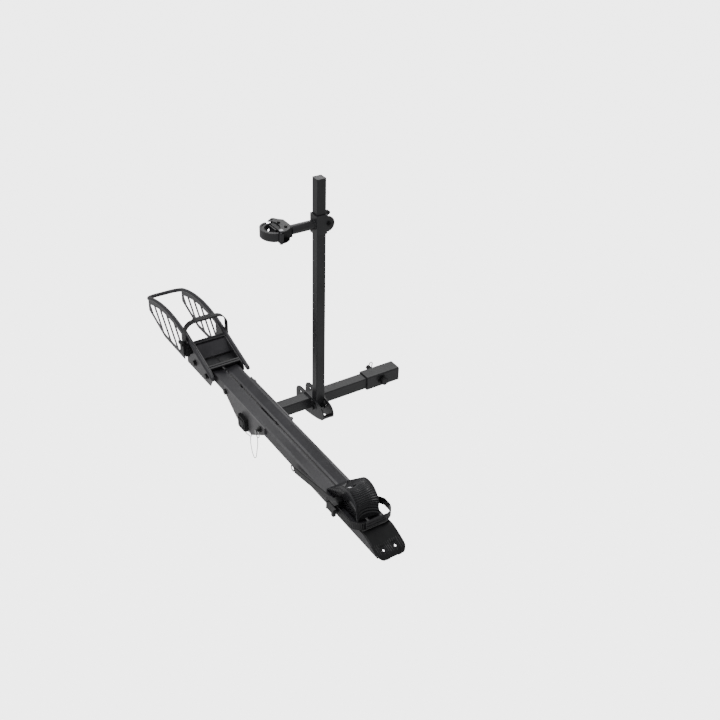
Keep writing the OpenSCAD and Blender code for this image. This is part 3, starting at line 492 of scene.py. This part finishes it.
# ---- End cap ----
# The moulded nose dips between raised edges, with a drain pocket in each of two channels and its
# corners rounded off.
nose_x = np.linspace(640, 744.5, 150)
span = np.linspace(-1, 1, 140)
spine = np.array([[640, 54.2], [664, 56.0], [676, 53.6], [704, 43.2], [730, 30.6], [740, 24.6],
                  [744.5, 20.0]])
crest = np.interp(nose_x, spine[:, 0], spine[:, 1])
crest = np.convolve(np.pad(crest, 9, mode="edge"), np.ones(19) / 19, mode="valid")
rounding = 22 * (1 - np.sqrt(np.clip(1 - (np.clip(nose_x - 722, 0, 22.5) / 23) ** 2, 0, 1)))
half = 45.9 - rounding
top_y = half[:, None] * span[None]
dip = 4.4 * np.exp(-(top_y / 26) ** 2) * np.clip((nose_x - 655) / 20, 0, 1)[:, None]
dip = dip * np.clip((738 - nose_x) / 25, 0, 1)[:, None]
shoulder = 2.2 * np.clip((np.abs(span) - 0.93) / 0.07, 0, 1)[None] ** 2
rib = 0.8 * (np.abs(np.mod(top_y + 3.1, 6.2) - 3.1) < 0.7) * np.clip((nose_x - 700) / 8, 0, 1)[:, None]
top_z = crest[:, None] - dip - shoulder + rib * np.clip((738 - nose_x) / 6, 0, 1)[:, None]
pocket_x, pocket_y = 721, 18.5
pocket = np.hypot((nose_x[:, None] - pocket_x) / 4.2, (np.abs(top_y) - pocket_y) / 3.2)
channel = np.clip((6.5 - np.abs(np.abs(top_y) - pocket_y)) / 0.8, 0, 1)
top_z = top_z - 3.0 * channel * np.clip((nose_x - 710) / 2.5, 0, 1)[:, None]
under_z = np.maximum(np.minimum(top_z - 2.4, crest[:, None] - 3.0), 16.6)
top_z = np.maximum(top_z, 17.4)
nose_y = np.concatenate([top_y, top_y[:, ::-1]], axis=1) - 452
nose_z = np.concatenate([top_z, under_z[:, ::-1]], axis=1)
nose = surface("nose", np.stack([nose_x[:, None] + 0 * nose_y, nose_y, nose_z], axis=-1) / 1000,
               through=pocket < 1)
nose.data.materials.append(black_plastic)
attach(nose, "tray")
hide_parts("tray_end_cap")


# ---- Welds ----
# Rippled beads where the bracket, the saddle plates and the arm meet what they are welded to.
def weld(name, path, hint, body, radius=0.0016):
    """Thin tube whose radius ripples along it as r (1 + 0.22 |sin|), like stacked drops."""
    run = np.concatenate([[0], np.cumsum(np.linalg.norm(np.diff(path, axis=0), axis=1))])
    ripple = 0.85 + 0.25 * np.abs(np.sin(np.pi * run / 0.0028))
    section = circle(radius, 14)[None] * ripple[:, None, None]
    bead = surface(name, tube(path, section, hint))
    bead.data.materials.append(charcoal)
    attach(bead, body)


def line(start, end, count=220):
    """Points from start to end."""
    return np.linspace(start, end, count) / 1000


weld("weld_saddle_near", line((-18, -502.0, 20.4), (18, -502.0, 20.4)), np.array([0, 0, 1.0]),
     "beam")
weld("weld_saddle_far", line((-18, -402.0, 20.4), (18, -402.0, 20.4)), np.array([0, 0, 1.0]),
     "beam")
for label, at in (("near", -276.4), ("far", -236.6)):
    weld("weld_bracket_" + label, line((-18, at, 20.4), (18, at, 20.4)), np.array([0, 0, 1.0]),
         "beam")
bead_angle = np.linspace(0, 2 * np.pi - 0.01, 300)
weld("weld_arm", np.stack([36 + 14.4 * np.cos(bead_angle), np.full(300, -276.4),
                           637 + 14.4 * np.sin(bead_angle)], axis=1) / 1000,
     np.array([0, 1.0, 0]), "collar")

# ---- Floor ----
# A wide pale sweep below the rack, which hangs over it as if from its hitch.
floor = surface("floor", np.array([[[-60, -60, -0.78], [60, -60, -0.78]],
                                   [[-60, 60, -0.78], [60, 60, -0.78]]]), False, False)
paper = material(
    "paper_sweep",
    lambda flow, place: {
        "Base Color": mix(flow, noise(flow, place, 1.5), (0.93, 0.93, 0.93), (0.9, 0.9, 0.9)),
        "Roughness": noise(flow, place, 40.0) * 0.1 + 0.8,
        "Normal": grained(flow, noise(flow, place, 300.0), 0.0002, 0.1)})
glow = Flow(paper.node_tree)
lit = glow.node("ShaderNodeEmission", {"Color": (1.0, 1.0, 1.0, 1.0), "Strength": 5.0})
seen = glow.node("ShaderNodeLightPath", output="Is Camera Ray") * 0.82
paint = Flow(paper.node_tree, paper.node_tree.nodes["Principled BSDF"].outputs[0])
both = glow.node("ShaderNodeMixShader", {0: seen, 1: paint, 2: lit})
paper.node_tree.links.new(both.socket, paper.node_tree.nodes["Material Output"].inputs[0])
floor.data.materials.append(paper)

# ---- Light ----
# Three soft panels in a pale surround that looks white behind the rack and is dimmer as a light.
world = bpy.data.worlds.new("surround")
world.use_nodes = True
world.node_tree.nodes["Background"].inputs["Color"].default_value = (1.0, 1.0, 1.0, 1.0)
air = Flow(world.node_tree).node("ShaderNodeLightPath", output="Is Camera Ray") * 3.7 + 0.42
world.node_tree.links.new(air.socket, world.node_tree.nodes["Background"].inputs["Strength"])
bpy.context.scene.world = world
for name, place, aim, size, watts in (
        ("key", (-1.9, 1.5, 2.9), (0, -0.4, 0.1), 2.0, 36),
        ("fill", (2.6, -3.0, 1.4), (0, -0.4, 0.1), 2.0, 6),
        ("top", (0.3, -1.9, 3.3), (0, -0.4, 0.0), 1.6, 44)):
    lamp = bpy.data.lights.new(name, "AREA")
    lamp.size = size
    lamp.energy = watts
    panel = bpy.data.objects.new(name, lamp)
    panel.location = place
    panel.rotation_euler = (Vector(aim) - Vector(place)).to_track_quat("-Z", "Y").to_euler()
    bpy.context.scene.collection.objects.link(panel)
